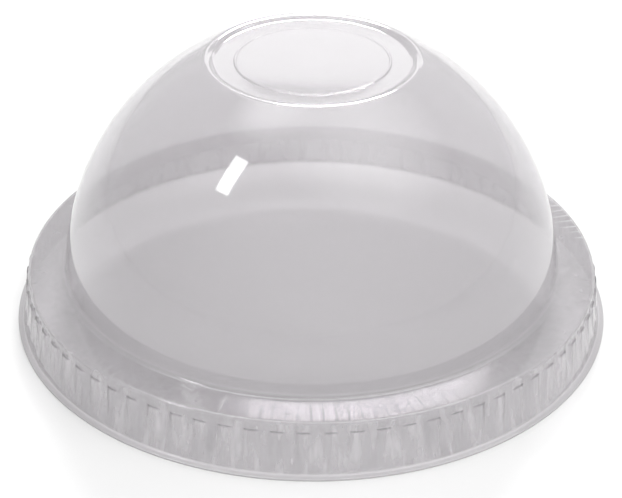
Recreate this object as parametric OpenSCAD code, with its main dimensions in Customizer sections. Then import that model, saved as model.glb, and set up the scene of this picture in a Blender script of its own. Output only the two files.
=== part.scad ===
// Clear dome lid without a hole for a round cold-drink cup, formed from one plastic sheet.
// The origin is the centre of the flange's underside, on which the lid rests. +Z is up.
// Every bend of the sheet has one centre, which its outside and its inside share, and its
// radius is given on the hollow side. Diameters and heights are those of the outside,
// apart from the seat's.

/* [Sheet] */
// Thickness of the formed sheet
wall = 0.35; // [0.25:0.05:0.4]

/* [Cup seat] */
// Inner diameter of the upright land that grips the cup's rim
seat_d = 97.7; // [80:0.1:110]
// Height of the land, counted from the ledge's top
land_h = 2.1; // [1.8:0.1:3]

/* [Skirt] */
// Height of the ledge's top above the flange's underside
ledge_h = 9.3; // [8:0.1:12]
// Width of the ledge, from the dome to the land
ledge_w = 6.45; // [4:0.05:12]
// Bend radius of the shoulder between the ledge and the land
shoulder_r = 0.35; // [0.2:0.05:1]
// Distance by which the skirt spreads from the land to its foot
flare_w = 1.3; // [1:0.1:2.5]

/* [Flange] */
// Width of the flat flange outside the skirt
flange_w = 1; // [0.8:0.1:2]
// Bend radius between the skirt and the flange
flange_bend_r = 0.4; // [0.2:0.05:0.6]

/* [Lugs] */
// Number of stiffening lugs round the skirt
lug_n = 76; // [40:1:84]
// Width of a lug
lug_w = 2.15; // [1.8:0.05:2.6]
// Distance that a lug's upper end stands out from the land
lug_proud = 0.4; // [0.3:0.05:0.6]
// Distance from the ledge's top down to a lug's upper end
lug_drop = 1.6; // [1.4:0.05:2]
// Height at which a lug fades into the flare
lug_foot = 1.8; // [1.4:0.1:3]
// Bend radius of a lug's two long edges
lug_edge_r = 0.15; // [0.05:0.05:0.4]

/* [Dome] */
// Radius of the dome's arc, which is longer than the dome is wide
dome_r = 45.4; // [40:0.1:70]
// Bend radius between the ledge and the dome
root_r = 1; // [0.5:0.1:1.5]

/* [Crown] */
// Height of the whole lid
lid_h = 47.1; // [40:0.1:55]
// Diameter of the crest round the flat top
crest_d = 35.1; // [30:0.1:42]
// Bend radius of the crest
crest_r = 1.15; // [0.6:0.05:2]
// Depth of the flat top below the crest
disc_drop = 0.5; // [0.2:0.05:0.8]
// Bend radius between the crest and the flat top
valley_r = 1.2; // [0.6:0.1:2]
// Diameter of the fine step in the flat top
ring_d = 25.9; // [20:0.1:27]
// Height of the fine step, by which the middle is raised
ring_step = 0.12; // [0.05:0.01:0.2]

/* [Hidden] */
$fn = 128;

// How far a cutting or joining shape runs on, so that no two faces only touch
spare = 1;
lid_colour = [0.86, 0.86, 0.88, 0.45];

land_r = seat_d / 2 + wall;
foot_r = land_r + flare_w;
flange_r = foot_r + flange_w;
dome_root_r = land_r - ledge_w;
flare_z = ledge_h - land_h;
disc_z = lid_h - disc_drop;

// Flare of the skirt: its angle from the vertical, its outward normal and its radius at a height
flare_angle = atan((foot_r - land_r) / (flare_z - wall));
flare_normal = [cos(flare_angle), sin(flare_angle)];
function flare_r(z) = land_r + (flare_z - z) * tan(flare_angle);

// Centres of the bends, as [radius, height]
foot_centre = [
    flare_r(wall + flange_bend_r) + flange_bend_r / cos(flare_angle),
    wall + flange_bend_r
];
shoulder_centre = [land_r - wall - shoulder_r, ledge_h - wall - shoulder_r];
crest_centre = [crest_d / 2, lid_h - wall - crest_r];
crest_to_valley = crest_r + wall + valley_r;
valley_centre = [
    crest_d / 2 - sqrt(pow(crest_to_valley, 2) - pow(crest_to_valley - disc_drop, 2)),
    disc_z + valley_r
];
dome_centre = point_from([dome_root_r, ledge_h], dome_r, crest_centre, dome_r - crest_r - wall);
root_centre = [
    dome_centre[0] + sqrt(pow(dome_r + root_r, 2) - pow(ledge_h + root_r - dome_centre[1], 2)),
    ledge_h + root_r
];

// Upper end of a lug, and the lean that brings its face back to the flare at its lower end
lug_top = [land_r + lug_proud, ledge_h - lug_drop];
lug_fall = lug_top[1] - lug_foot;
lug_lean = atan((flare_r(lug_foot) - lug_top[0]) / lug_fall);

// The point at distance p_r from p and q_r from q, on the left of the way from p to q
function point_from(p, p_r, q, q_r) =
    let (
        gap = norm(q - p),
        way = (q - p) / gap,
        along = (p_r * p_r - q_r * q_r + gap * gap) / (2 * gap),
        aside = sqrt(p_r * p_r - along * along)
    )
    p + along * way + aside * [-way[1], way[0]];

function unit(v) = v / norm(v);

module disc_at(centre, radius) {
    translate(centre)
        circle(r = radius);
}

// Half section of the skirt, filled to the axis: each point is set in by inset from the outside
module skirt_section(inset, floor_z) {
    foot = foot_centre - (flange_bend_r + inset) * flare_normal;
    knee = [land_r - inset, flare_z - inset * tan(flare_angle / 2)];
    difference() {
        polygon([
            [0, floor_z],
            [foot_centre[0], floor_z],
            [foot_centre[0], wall - inset],
            foot_centre,
            foot,
            knee,
            [land_r - inset, shoulder_centre[1]],
            shoulder_centre,
            [shoulder_centre[0], ledge_h - inset],
            [0, ledge_h - inset]
        ]);
        disc_at(foot_centre, flange_bend_r + inset);
    }
    disc_at(shoulder_centre, shoulder_r + wall - inset);
}

// Half section of the dome, from under the ledge to the crest
module dome_section(inset) {
    to_crest = unit(crest_centre - dome_centre);
    to_root = unit(root_centre - dome_centre);
    beyond = dome_centre + (dome_r + spare) * to_crest;
    widest = max(dome_root_r, dome_centre[0] + dome_r) + spare;
    root = dome_centre + (dome_r - inset) * to_root;
    intersection() {
        disc_at(dome_centre, dome_r - inset);
        polygon([
            [0, ledge_h - inset - spare],
            [widest, ledge_h - inset - spare],
            [widest, beyond[1]],
            beyond,
            crest_centre,
            [0, crest_centre[1]]
        ]);
    }
    difference() {
        polygon([
            [root[0] - spare, ledge_h - inset - spare],
            [root_centre[0], ledge_h - inset - spare],
            [root_centre[0], ledge_h - inset],
            root_centre,
            root,
            [root[0] - spare, root[1]]
        ]);
        disc_at(root_centre, root_r + inset);
    }
}

// Half section of the flat top and of the rounded crest round it
module crown_section(inset) {
    difference() {
        polygon([
            [0, crest_centre[1] - spare],
            crest_centre - [0, spare],
            crest_centre,
            valley_centre,
            [valley_centre[0], disc_z - inset],
            [ring_d / 2 - inset, disc_z - inset],
            [ring_d / 2 - inset, disc_z - inset + ring_step],
            [0, disc_z - inset + ring_step]
        ]);
        disc_at(valley_centre, valley_r + inset);
    }
    disc_at(crest_centre, crest_r + wall - inset);
}

// One lug, a leaning prism with two rounded edges that fades into the flare
module lug(inset) {
    half_w = lug_w / 2 - inset;
    edge_r = lug_edge_r + wall - inset;
    depth = lug_proud + spare;
    translate([lug_top[0], 0, lug_top[1]])
        rotate([0, -lug_lean, 0])
            translate([-inset, 0, -lug_fall - inset])
                linear_extrude(lug_fall) {
                    translate([-depth, -half_w])
                        square([depth - edge_r, 2 * half_w]);
                    translate([-depth, edge_r - half_w])
                        square([depth, 2 * (half_w - edge_r)]);
                    for (side = [-1, 1])
                        disc_at([-edge_r, side * (half_w - edge_r)], edge_r);
                }
}

// The lid as a filled body, set in by inset: the outside has none, the inside has the wall's
module filled_lid(inset, floor_z) {
    rotate_extrude() {
        skirt_section(inset, floor_z);
        dome_section(inset);
        crown_section(inset);
    }
    for (i = [0 : lug_n - 1])
        rotate([0, 0, i * 360 / lug_n])
            lug(inset);
}

module dome_lid() {
    color(lid_colour)
        difference() {
            union() {
                filled_lid(0, 0);
                cylinder(r = flange_r, h = wall);
            }
            filled_lid(wall, -spare);
        }
}

dome_lid();
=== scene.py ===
import math
import bpy
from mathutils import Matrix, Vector


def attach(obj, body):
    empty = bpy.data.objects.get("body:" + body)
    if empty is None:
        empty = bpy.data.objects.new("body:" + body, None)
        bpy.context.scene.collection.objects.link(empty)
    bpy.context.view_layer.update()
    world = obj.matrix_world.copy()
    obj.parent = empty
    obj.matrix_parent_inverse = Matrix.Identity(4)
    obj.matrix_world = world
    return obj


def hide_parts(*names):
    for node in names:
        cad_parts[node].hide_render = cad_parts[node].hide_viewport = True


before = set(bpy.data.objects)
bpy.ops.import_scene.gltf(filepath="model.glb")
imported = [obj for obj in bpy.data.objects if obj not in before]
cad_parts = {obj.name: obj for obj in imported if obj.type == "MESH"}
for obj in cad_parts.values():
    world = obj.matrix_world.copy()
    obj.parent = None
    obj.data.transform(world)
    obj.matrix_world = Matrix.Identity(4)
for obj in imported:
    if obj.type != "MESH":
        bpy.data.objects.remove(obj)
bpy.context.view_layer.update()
print("frame loaded:", sorted(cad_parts))

mm = 0.001


def hexColour(code):
    # sRGB hex such as "#dcdbe0" to the linear colour that the sockets take
    channels = [int(code[i:i + 2], 16) / 255 for i in (1, 3, 5)]
    linear = [c / 12.92 if c <= 0.04045 else ((c + 0.055) / 1.055) ** 2.4 for c in channels]
    return (*linear, 1.0)


def addNode(tree, kind, settings=None, inputs=None):
    # inputs takes a plain value, or the output socket to link from
    # a float Mix takes its two values at 2 and 3, a colour Mix at 6 and 7
    node = tree.nodes.new(kind)
    for name, value in (settings or {}).items():
        setattr(node, name, value)
    for name, value in (inputs or {}).items():
        if isinstance(value, bpy.types.NodeSocket):
            tree.links.new(value, node.inputs[name])
        else:
            node.inputs[name].default_value = value
    return node


def newMaterial(name):
    material = bpy.data.materials.new(name)
    material.use_nodes = True
    material.node_tree.nodes.clear()
    return material, material.node_tree


lidSizes = {                    # millimetres, of the sheet's outside
    "wall": 0.35,               # thickness of the formed sheet
    "landRadius": 49.2,         # upright band that grips the cup's rim
    "footRadius": 50.5,         # where the flared skirt meets the flange
    "flangeRadius": 51.5,
    "flangeBend": 0.4,          # bend radii are those of the hollow side
    "trimEase": 0.08,           # rounding of the trimmed edge
    "ledgeHeight": 9.3,
    "landHeight": 2.1,
    "shoulderBend": 0.35,
    "domeRootRadius": 42.75,
    "domeArc": 45.4,
    "rootBend": 1.0,
    "lidHeight": 47.1,
    "crestRadius": 17.55,
    "crestBend": 1.15,
    "discDrop": 0.5,            # depth of the flat top below the crest
    "valleyBend": 1.2,
    "ringRadius": 12.95,        # fine step in the flat top
    "ringStep": 0.12,
    "ringSoftness": 0.28,       # width over which the step rises
    "lugCount": 76,
    "lugHalfWidth": 1.075,
    "lugProud": 0.4,
    "lugDrop": 1.6,             # from the ledge's top down to a lug's upper end
    "lugFoot": 1.8,             # height at which a lug fades into the flare
    "lugSlope": 0.8,            # width over which a lug's side rises
    "lugBrow": 0.12,            # height over which its upper end rises
}


def arcPoints(centre, radius, start, end, steps):
    # points on an arc from start to end, in degrees
    points = []
    for i in range(steps + 1):
        a = math.radians(start + (end - start) * i / steps)
        points.append((centre[0] + radius * math.cos(a), centre[1] + radius * math.sin(a)))
    return points


def headingOf(start, end):
    return math.degrees(math.atan2(end[1] - start[1], end[0] - start[0]))


def skirtSection(size, inset):
    # half section of the skirt from the flange to the ledge, for one face of the sheet, which is
    # inset from the outside: rows of (radius, height, how far a lug stands out)
    wall, land, ledge = size["wall"], size["landRadius"], size["ledgeHeight"]
    flareTop = ledge - size["landHeight"]
    flare = math.atan((size["footRadius"] - land) / (flareTop - wall))
    kneeZ = flareTop - inset * math.tan(flare / 2)

    def flareRadius(z):
        return land + (flareTop - z) * math.tan(flare)

    def bareRadius(z):
        return flareRadius(z) - inset / math.cos(flare) if z < kneeZ else land - inset

    bend = size["flangeBend"]
    footCentre = (flareRadius(wall + bend) + bend / math.cos(flare), wall + bend)
    foot = arcPoints(footCentre, bend + inset, -90, -180 + math.degrees(flare), 4)
    skirt = [(r, z, 0.0) for r, z in foot]

    # a lug's leaning face starts on the flare, rounds over at its upper end and drops back to the land
    lugTop, lugFoot = ledge - size["lugDrop"], size["lugFoot"]
    lean = (flareRadius(lugFoot) - land - size["lugProud"]) / (lugTop - lugFoot)

    def lugHeight(z):
        face = land + size["lugProud"] + (lugTop - z) * lean - inset * math.hypot(1, lean)
        return max(0.0, face - bareRadius(z))

    for z in (1.2, lugFoot - 0.15, lugFoot + 0.35, 2.9, 4.3, 5.8, 6.5):
        skirt.append((bareRadius(z), z, lugHeight(z)))
    browZ = lugTop - 0.8 * inset - 0.6 * size["lugBrow"]    # lower inside, so the sheet stays as thick
    for i in range(7):
        z = browZ + size["lugBrow"] * i / 6
        skirt.append((bareRadius(z), z, lugHeight(browZ) * (1 + math.cos(math.pi * i / 6)) / 2))

    shoulder = size["shoulderBend"]
    shoulderCentre = (land - wall - shoulder, ledge - wall - shoulder)
    return skirt + [(r, z, 0.0) for r, z in arcPoints(shoulderCentre, shoulder + wall - inset, 0, 90, 5)]


def topSection(size, inset):
    # half section of the root bend, the dome, the crest and the flat top, as rows of (radius, height)
    ledge, reach, root = size["ledgeHeight"], size["domeArc"], size["rootBend"]
    crestCentre = (size["crestRadius"], size["lidHeight"] - size["wall"] - size["crestBend"])
    crestOut = size["crestBend"] + size["wall"]

    # the dome's arc runs from the ledge's inner edge and touches the crest's bend
    way = (crestCentre[0] - size["domeRootRadius"], crestCentre[1] - ledge)
    gap = math.hypot(*way)
    along = (reach ** 2 - (reach - crestOut) ** 2 + gap ** 2) / (2 * gap)
    aside = math.sqrt(reach ** 2 - along ** 2)
    domeCentre = (size["domeRootRadius"] + (along * way[0] - aside * way[1]) / gap,
                  ledge + (along * way[1] + aside * way[0]) / gap)
    rise = ledge + root - domeCentre[1]
    rootCentre = (domeCentre[0] + math.sqrt((reach + root) ** 2 - rise ** 2), ledge + root)
    rootHeading = headingOf(domeCentre, rootCentre)
    crestHeading = headingOf(domeCentre, crestCentre)

    discZ = size["lidHeight"] - size["discDrop"]
    span = crestOut + size["valleyBend"]
    valleyCentre = (size["crestRadius"] - math.sqrt(span ** 2 - (span - size["discDrop"]) ** 2),
                    discZ + size["valleyBend"])
    valleyHeading = headingOf(valleyCentre, crestCentre)

    top = arcPoints(rootCentre, root + inset, -90, rootHeading - 180, 5)
    top += arcPoints(domeCentre, reach - inset, rootHeading, crestHeading, 26)[1:]
    top += arcPoints(crestCentre, crestOut - inset, crestHeading, valleyHeading + 180, 8)[1:]
    top += arcPoints(valleyCentre, size["valleyBend"] + inset, valleyHeading, -90, 4)[1:]
    ring, step = size["ringRadius"] - inset, size["ringStep"]
    for i in range(5):
        t = i / 4
        top.append((ring + size["ringSoftness"] * (0.5 - t), discZ - inset + step * t * t * (3 - 2 * t)))
    top.append((ring / 2, discZ - inset + step))
    return top


def lugSection(size, inset, height):
    # from a lug's middle to the middle of the gap beside it: (distance round the lid, how far out)
    middle = size["lugHalfWidth"] - 0.4 * inset             # narrower inside
    points = [(0.0, height)]
    for i in range(7):
        points.append((middle + size["lugSlope"] * (i / 6 - 0.5), height * (1 + math.cos(math.pi * i / 6)) / 2))
    return points + [(math.pi * size["landRadius"] / size["lugCount"], 0.0)]


def buildLid(size):
    verts, faces = [], []
    lugs = size["lugCount"]

    def ringOf(points):
        first = len(verts)
        verts.extend(points)
        return list(range(first, len(verts)))

    def aroundLid(radius, z, lug, t):
        # t is the distance from the lug's middle, and the first lug faces the viewer
        a = 2 * math.pi * lug / lugs + t / size["landRadius"] - math.pi / 2
        return (radius * math.cos(a), radius * math.sin(a), z)

    def skirtRing(row, inset):
        # sixteen points for each lug
        radius, z, height = row
        half = lugSection(size, inset, height)
        columns = half + [(-t, out) for t, out in half[-2:0:-1]]
        return ringOf([aroundLid(radius + out, z, lug + (t < 0), t) for lug in range(lugs) for t, out in columns])

    def topRing(radius, z):
        # four points for each lug
        stops = [t for t, _ in lugSection(size, 0, 0)]
        turns = (0.0, stops[4], stops[8], 2 * stops[8] - stops[4])
        return ringOf([aroundLid(radius, z, lug, t) for lug in range(lugs) for t in turns])

    def addFaces(band, flip):
        faces.extend([face[::-1] for face in band] if flip else band)

    def join(lower, upper, flip):
        # a band of quads between two rings, or fans where one ring has four times the points
        a, b = len(lower), len(upper)
        if a == b:
            band = [(lower[i], lower[(i + 1) % a], upper[(i + 1) % a], upper[i]) for i in range(a)]
        else:
            fine, coarse = (lower, upper) if a > b else (upper, lower)
            ratio, band = len(fine) // len(coarse), []
            half = ratio // 2
            for i in range(len(coarse)):
                near, far = coarse[i], coarse[(i + 1) % len(coarse)]
                strip = [fine[(i * ratio + j) % len(fine)] for j in range(ratio + 1)]
                fan = [(strip[j], strip[j + 1], near) for j in range(half)]
                fan += [(strip[half], far, near)]
                fan += [(strip[j], strip[j + 1], far) for j in range(half, ratio)]
                band += fan if a > b else [face[::-1] for face in fan]
        addFaces(band, flip)

    # the trimmed edge of the flange, then the outside of the sheet from it, then the inside
    rim, ease, wall = size["flangeRadius"], size["trimEase"], size["wall"]
    edge = [(rim - ease, 0.0), (rim, ease), (rim, wall - ease), (rim - ease, wall)]
    edge = [skirtRing((radius, z, 0.0), 0.0) for radius, z in edge]
    for lower, upper in zip(edge, edge[1:]):
        join(lower, upper, False)
    for inset, last in ((0.0, edge[-1]), (wall, edge[0])):
        flip = inset > 0
        top = topSection(size, inset)
        for row in skirtSection(size, inset):
            ring = skirtRing(row, inset)
            join(last, ring, flip)
            last = ring
        for radius, z in top:
            ring = topRing(radius, z)
            join(last, ring, flip)
            last = ring
        middle = ringOf([(0.0, 0.0, top[-1][1])])[0]
        addFaces([(last[i], last[(i + 1) % len(last)], middle) for i in range(len(last))], flip)

    mesh = bpy.data.meshes.new("formed_dome_lid")
    mesh.from_pydata([(x * mm, y * mm, z * mm) for x, y, z in verts], [], faces)
    mesh.validate()
    for polygon in mesh.polygons:
        polygon.use_smooth = True
    lid = bpy.data.objects.new("formed_dome_lid", mesh)
    bpy.context.scene.collection.objects.link(lid)
    corners = lid.modifiers.new("flat faces stay flat", "WEIGHTED_NORMAL")
    corners.keep_sharp = True
    return lid


lid = buildLid(lidSizes)
triangles = sum(len(polygon.vertices) - 2 for polygon in lid.data.polygons)
print("lid formed:", len(lid.data.vertices), "points,", triangles, "triangles")


clearPetLook = {                # heights are millimetres above the flange's underside
    "domeTint": "#dad8da",      # light through the sheet of the dome
    "skirtTint": "#c3c1c3",     # and through the skirt and the ledge
    "browShade": "#949294",      # upper ends of the lugs, where the sheet is seen edge-on
    "domeShadow": "#a09ea0",    # lamp light through one face, which steep walls mirror away
    "skirtShadow": "#eeedee",
    "mirrorFalloff": 5.0,       # how late a wall seen more and more edge-on starts to mirror lamp light
    # painted shade: a dark line on the upper ends of the lugs, where the sheet is seen edge-on
    "ior": 1.575,
    "roughness": 0.05,
    "domeHaze": 0.12,           # share of light that the drawn sheet of the dome scatters
    "skirtHaze": 0.42,          # the same for the skirt, which the mould marks more
    "flangeHaze": 0.52,         # and for the flange, which is cut and stacked and so scuffed all round
    "flangeTop": 0.45,          # where the flange's haze starts to fade
    "flangeFade": 0.3,
    "skirtTop": 8.6,            # where the skirt's haze starts to fade
    "domeFoot": 9.6,            # where the dome's haze is reached
    "ledgeTop": 9.35,           # where the skirt's tint starts to fade
    "ledgeFade": 0.7,
    # where the painted shade line lies: outside the land, from this height up
    "browShadeRadius": 49.25,        # just outside the land
    "browShadeEdge": 0.1,
    "browShadeHeight": 7.6,
    "browShadeFade": 0.05,
    "waveSize": 14.0,           # mm between the soft waves that forming leaves in the sheet
    "waveDepth": 0.004,         # mm
    "streakWidth": 1.6,         # mm between the upright drawing streaks of the skirt
    "streakLength": 9.0,        # mm
    "streakShare": 0.12,        # how much less haze there is between the streaks
}


def makeClearPet(look):
    # PET sheet stretched over a mould: glossy and clear, faintly grey through two walls, with painted shade as a dark
    # line where the lugs' upper ends are seen edge-on, milkier and streaked on the skirt, with soft waves that make
    # its reflections wander
    material, tree = newMaterial("clear_pet_thermoformed")
    place = addNode(tree, "ShaderNodeTexCoord").outputs["Object"]
    height = addNode(tree, "ShaderNodeSeparateXYZ", {}, {"Vector": place}).outputs["Z"]
    waves = addNode(tree, "ShaderNodeTexNoise", {}, {
        "Vector": place, "Scale": 1 / (look["waveSize"] * mm), "Detail": 2.0, "Roughness": 0.4})
    bump = addNode(tree, "ShaderNodeBump", {}, {
        "Height": waves.outputs["Fac"], "Strength": 1.0, "Distance": look["waveDepth"] * mm})

    # how clear the sheet is: streaked on the skirt, even on the flange and the dome
    acrossStreaks, alongStreaks = 1 / (look["streakWidth"] * mm), 1 / (look["streakLength"] * mm)
    squeezed = addNode(tree, "ShaderNodeVectorMath", {"operation": "MULTIPLY"}, {
        0: place, 1: (acrossStreaks, acrossStreaks, alongStreaks)})
    streaks = addNode(tree, "ShaderNodeTexNoise", {}, {
        "Vector": squeezed.outputs["Vector"], "Scale": 1.0, "Detail": 3.0})
    skirtClear = addNode(tree, "ShaderNodeMapRange", {}, {
        "Value": streaks.outputs["Fac"], "From Min": 0.3, "From Max": 0.7,
        "To Min": 1 - look["skirtHaze"], "To Max": 1 - look["skirtHaze"] + 2 * look["streakShare"]})
    clear = addNode(tree, "ShaderNodeMapRange", {"interpolation_type": "SMOOTHSTEP"}, {
        "Value": height, "From Min": look["skirtTop"] * mm, "From Max": look["domeFoot"] * mm,
        "To Min": skirtClear.outputs["Result"], "To Max": 1 - look["domeHaze"]})
    flange = addNode(tree, "ShaderNodeMapRange", {"interpolation_type": "SMOOTHSTEP"}, {
        "Value": height, "To Min": 1.0, "To Max": 0.0,
        "From Min": look["flangeTop"] * mm, "From Max": (look["flangeTop"] + look["flangeFade"]) * mm})
    clear = addNode(tree, "ShaderNodeMix", {"data_type": "FLOAT"}, {
        0: flange.outputs["Result"], 2: clear.outputs["Result"], 3: 1 - look["flangeHaze"]})

    # its tint: the skirt's below the ledge, the dome's above, and painted shade, a dark line, on the upper ends of
    # the lugs
    upper = addNode(tree, "ShaderNodeMapRange", {"interpolation_type": "SMOOTHSTEP"}, {
        "Value": height,
        "From Min": look["ledgeTop"] * mm, "From Max": (look["ledgeTop"] + look["ledgeFade"]) * mm})
    tintAndShade = addNode(tree, "ShaderNodeMix", {"data_type": "RGBA"}, {
        0: upper.outputs["Result"], 6: hexColour(look["skirtTint"]), 7: hexColour(look["domeTint"])})
    flat = addNode(tree, "ShaderNodeVectorMath", {"operation": "MULTIPLY"}, {0: place, 1: (1, 1, 0)})
    radius = addNode(tree, "ShaderNodeVectorMath", {"operation": "LENGTH"}, {0: flat.outputs["Vector"]})
    # mask of the painted shade line on the lugs' upper ends
    shadeOutside = addNode(tree, "ShaderNodeMapRange", {"interpolation_type": "SMOOTHSTEP"}, {
        "Value": radius.outputs["Value"],
        "From Min": look["browShadeRadius"] * mm, "From Max": (look["browShadeRadius"] + look["browShadeEdge"]) * mm})
    step = addNode(tree, "ShaderNodeMapRange", {"interpolation_type": "SMOOTHSTEP"}, {
        "Value": height, "To Max": shadeOutside.outputs["Result"],
        "From Min": (look["browShadeHeight"] - look["browShadeFade"]) * mm, "From Max": look["browShadeHeight"] * mm})
    tintAndShade = addNode(tree, "ShaderNodeMix", {"data_type": "RGBA"}, {
        0: step.outputs["Result"], 6: tintAndShade.outputs[2], 7: hexColour(look["browShade"])})
    sheet = addNode(tree, "ShaderNodeBsdfPrincipled", {}, {
        "Base Color": tintAndShade.outputs[2], "Roughness": look["roughness"], "IOR": look["ior"],
        "Transmission Weight": clear.outputs[0], "Normal": bump.outputs["Normal"]})

    # the lamps shine through, less where they meet the sheet at a low angle
    facing = addNode(tree, "ShaderNodeLayerWeight", {}, {"Blend": 0.5})
    mirrored = addNode(tree, "ShaderNodeMath", {"operation": "POWER"}, {
        0: facing.outputs["Facing"], 1: look["mirrorFalloff"]})
    passed = addNode(tree, "ShaderNodeMix", {"data_type": "RGBA"}, {
        0: upper.outputs["Result"], 6: hexColour(look["skirtShadow"]), 7: hexColour(look["domeShadow"])})
    passed = addNode(tree, "ShaderNodeMix", {"data_type": "RGBA"}, {
        0: mirrored.outputs[0], 6: passed.outputs[2], 7: hexColour("#000000")})
    through = addNode(tree, "ShaderNodeBsdfTransparent", {}, {"Color": passed.outputs[2]})
    path = addNode(tree, "ShaderNodeLightPath")
    mix = addNode(tree, "ShaderNodeMixShader", {}, {
        0: path.outputs["Is Shadow Ray"], 1: sheet.outputs["BSDF"], 2: through.outputs["BSDF"]})
    addNode(tree, "ShaderNodeOutputMaterial", {}, {"Surface": mix.outputs["Shader"]})
    return material


lid.data.materials.append(makeClearPet(clearPetLook))
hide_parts("dome_lid")
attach(lid, "root")
print("clear PET set")


studio = {
    "floorColour": "#c5c5c5",
    "floorSize": 6.0,           # m
    "floorGlow": 0.08,          # white added where the floor is looked at, so that the card reads as white
    "roomLevel": 0.02,          # brightness of the dark room
    "skyGlows": [               # heading and height in degrees, how tight, brightness
        (90, 70, 5, 3.5),
        (-60, 70, 30, 3.2),
    ],
    "fillGlows": [              # the same for soft light that reflections leave out
        (4, 0, 30, 6.0),
        (172, 4, 12, 10.0),
        (-90, 30, 30, 1.3),
    ],
}


def directionTo(heading, height):
    # heading in degrees from +Y towards +X, height in degrees above the floor
    a, e = math.radians(heading), math.radians(height)
    return (math.sin(a) * math.cos(e), math.cos(a) * math.cos(e), math.sin(e))


def makeFloor(settings):
    # matt white card
    half = settings["floorSize"] / 2
    mesh = bpy.data.meshes.new("floor")
    mesh.from_pydata([(-half, -half, 0), (half, -half, 0), (half, half, 0), (-half, half, 0)], [], [(0, 1, 2, 3)])
    floor = bpy.data.objects.new("floor", mesh)
    bpy.context.scene.collection.objects.link(floor)
    material, tree = newMaterial("white_card")
    card = addNode(tree, "ShaderNodeBsdfDiffuse", {}, {"Color": hexColour(settings["floorColour"])})
    path = addNode(tree, "ShaderNodeLightPath")
    seen = addNode(tree, "ShaderNodeMath", {"operation": "MAXIMUM"}, {
        0: path.outputs["Is Camera Ray"], 1: path.outputs["Is Glossy Ray"]})
    seen = addNode(tree, "ShaderNodeMath", {"operation": "MAXIMUM"}, {
        0: seen.outputs[0], 1: path.outputs["Is Transmission Ray"]})
    seen = addNode(tree, "ShaderNodeMath", {"operation": "MULTIPLY"}, {
        0: seen.outputs[0], 1: settings["floorGlow"]})
    glow = addNode(tree, "ShaderNodeEmission", {}, {"Strength": seen.outputs[0]})
    both = addNode(tree, "ShaderNodeAddShader", {}, {0: card.outputs["BSDF"], 1: glow.outputs["Emission"]})
    addNode(tree, "ShaderNodeOutputMaterial", {}, {"Surface": both.outputs["Shader"]})
    mesh.materials.append(material)


def makeWorld(settings):
    # sky and fill light the lid, its gloss mirrors the sky or at least white, and white stands behind it
    world = bpy.data.worlds.new("studio")
    bpy.context.scene.world = world
    world.use_nodes = True
    tree = world.node_tree
    tree.nodes.clear()
    way = addNode(tree, "ShaderNodeTexCoord").outputs["Generated"]

    def addGlows(level, glows):
        for heading, height, tightness, brightness in glows:
            toward = addNode(tree, "ShaderNodeVectorMath", {"operation": "DOT_PRODUCT"}, {
                0: way, 1: directionTo(heading, height)})
            ahead = addNode(tree, "ShaderNodeMath", {"operation": "MAXIMUM"}, {0: toward.outputs["Value"], 1: 0.0})
            falloff = addNode(tree, "ShaderNodeMath", {"operation": "POWER"}, {0: ahead.outputs[0], 1: tightness})
            level = addNode(tree, "ShaderNodeMath", {"operation": "MULTIPLY_ADD"}, {
                0: falloff.outputs[0], 1: brightness, 2: level}).outputs[0]
        return level

    sky = addGlows(settings["roomLevel"], settings["skyGlows"])
    light = addGlows(sky, settings["fillGlows"])
    mirrored = addNode(tree, "ShaderNodeMath", {"operation": "MAXIMUM"}, {0: sky, 1: 1.0})
    path = addNode(tree, "ShaderNodeLightPath")
    level = addNode(tree, "ShaderNodeMix", {"data_type": "FLOAT"}, {
        0: path.outputs["Is Glossy Ray"], 2: light, 3: mirrored.outputs[0]})
    seen = addNode(tree, "ShaderNodeMath", {"operation": "MAXIMUM"}, {
        0: path.outputs["Is Camera Ray"], 1: path.outputs["Is Transmission Ray"]})
    shown = addNode(tree, "ShaderNodeMix", {"data_type": "FLOAT"}, {
        0: seen.outputs[0], 2: level.outputs[0], 3: 1.0})
    background = addNode(tree, "ShaderNodeBackground", {}, {
        "Color": (1, 1, 1, 1), "Strength": shown.outputs[0]})
    addNode(tree, "ShaderNodeOutputWorld", {}, {"Surface": background.outputs["Background"]})


def pointAt(thing, target, turn):
    # turn is in degrees, about the way it looks
    thing.rotation_euler = (Vector(target) - thing.location).to_track_quat("-Z", "Y").to_euler()
    thing.rotation_euler.rotate_axis("Z", math.radians(turn))


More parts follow.
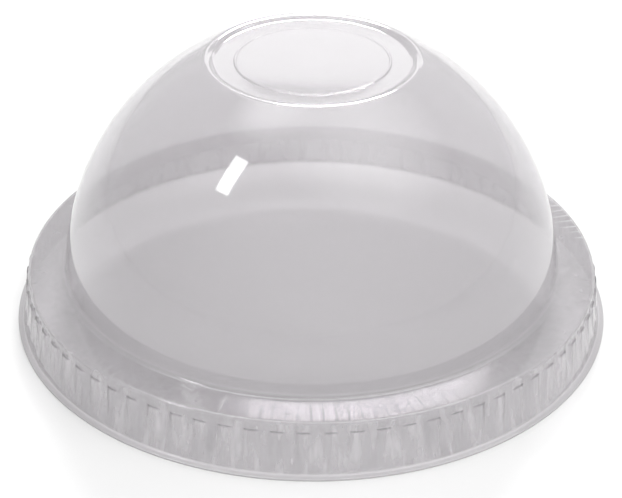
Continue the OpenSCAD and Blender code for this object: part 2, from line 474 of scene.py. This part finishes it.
softboxes = {                   # degrees and metres; level is the brightness of the face
    "backSoftbox": {
        "heading": 2.4, "height": 38.2, "distance": 1.02, "width": 0.21, "tall": 0.11, "level": 90.0},
    "overheadSoftbox": {
        "heading": 5, "height": 61, "distance": 1.0, "width": 0.9, "tall": 0.12, "level": 1.5},
    "horizonSoftbox": {
        "heading": 4, "height": 24, "distance": 1.2, "width": 0.7, "tall": 0.16, "level": 1.2},
    "windowLamp": {
        "heading": -113, "height": 52, "distance": 0.8, "width": 0.1, "tall": 0.22, "level": 8.0,
        "target": (-0.012, -0.026, 0.039), "turn": 19},
}


def addSoftbox(name, heading, height, distance, width, tall, level, target=(0, 0, 0.02), turn=0.0):
    lamp = bpy.data.lights.new(name, "AREA")
    lamp.shape = "RECTANGLE"
    lamp.size, lamp.size_y = width, tall
    lamp.energy = math.pi * width * tall * level
    softbox = bpy.data.objects.new(name, lamp)
    softbox.location = Vector(target) + distance * Vector(directionTo(heading, height))
    pointAt(softbox, target, turn)
    softbox.visible_camera = False
    bpy.context.scene.collection.objects.link(softbox)


cameraView = {                  # fitted to the photograph
    "target": (0, 0, 10.22 * mm),
    "distance": 308.1 * mm,
    "height": 31.47,            # degrees above the floor
    "heading": 178.9,           # degrees from +Y towards +X
    "lens": 101.98,             # mm
    "sensor": 36.0,             # mm
    "shiftX": -0.0009,
    "roll": 0.4,                # degrees
}


def makeCamera(view):
    data = bpy.data.cameras.new("camera")
    data.lens, data.sensor_width, data.sensor_fit = view["lens"], view["sensor"], "HORIZONTAL"
    data.shift_x = view["shiftX"]
    data.clip_start = 0.01
    camera = bpy.data.objects.new("camera", data)
    camera.location = Vector(view["target"]) + view["distance"] * Vector(directionTo(view["heading"], view["height"]))
    pointAt(camera, view["target"], view["roll"])
    bpy.context.scene.collection.objects.link(camera)
    bpy.context.scene.camera = camera


makeFloor(studio)
makeWorld(studio)
for name, box in softboxes.items():
    addSoftbox(name, **box)
makeCamera(cameraView)
bpy.context.scene.view_settings.view_transform = "Standard"
print("studio set")
